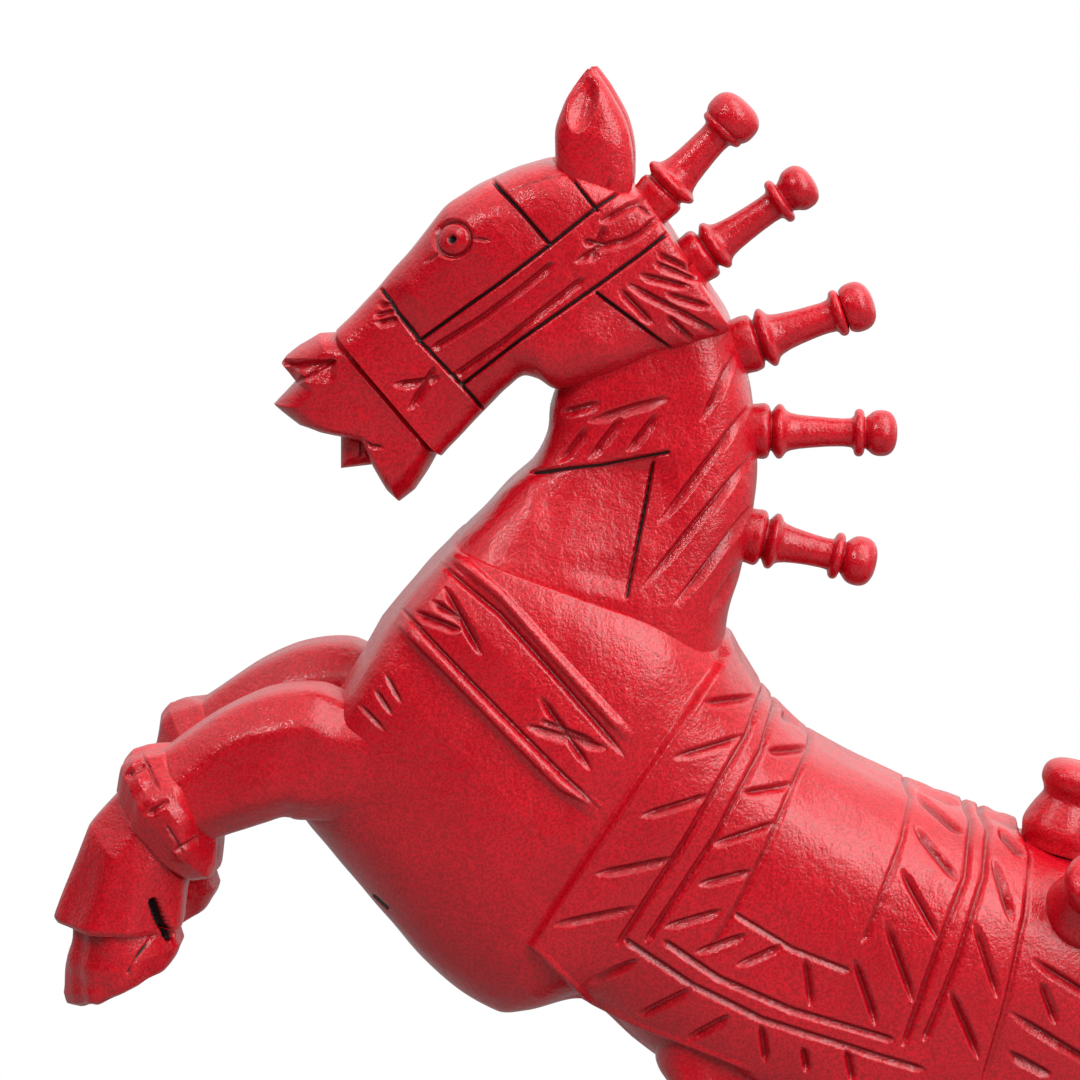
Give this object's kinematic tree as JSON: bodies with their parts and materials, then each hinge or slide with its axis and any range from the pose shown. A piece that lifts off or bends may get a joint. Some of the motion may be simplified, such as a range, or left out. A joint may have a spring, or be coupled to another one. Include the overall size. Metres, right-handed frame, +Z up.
{
  "type": "carved rearing horse ornament",
  "caption": "Carved and painted wooden horse rearing on its hind hooves and tail, with turned pegs for a mane and turned knobs on the croup",
  "frame": {"origin": "on the ground, under the middle of the horse's bounding box", "axes": "+X from the muzzle towards the tail, +Y the horse's right, +Z up"},
  "size_m": [0.449, 0.1214, 0.5692],
  "materials": {
    "red_paint": "satin red enamel brushed over carved wood",
    "bare_wood": "bare turned hardwood"
  },
  "bodies": {
    "root": {"trunk": "red_paint", "head_and_neck": "red_paint", "ear_left": "red_paint", "ear_right": "red_paint", "tongue": "red_paint", "mane_peg_1": "red_paint", "mane_peg_2": "red_paint", "mane_peg_3": "red_paint", "mane_peg_4": "red_paint", "mane_peg_5": "red_paint", "croup_knob_top": "red_paint", "croup_knob_left": "red_paint", "croup_knob_right": "red_paint", "foreleg_left": "red_paint", "foreleg_right": "red_paint", "hind_leg_left": "red_paint", "hind_leg_right": "red_paint", "tail": "red_paint", "neck_dowels": "bare_wood", "foreleg_dowels": "bare_wood", "hind_leg_dowels": "bare_wood"}
  },
  "joints": []
}
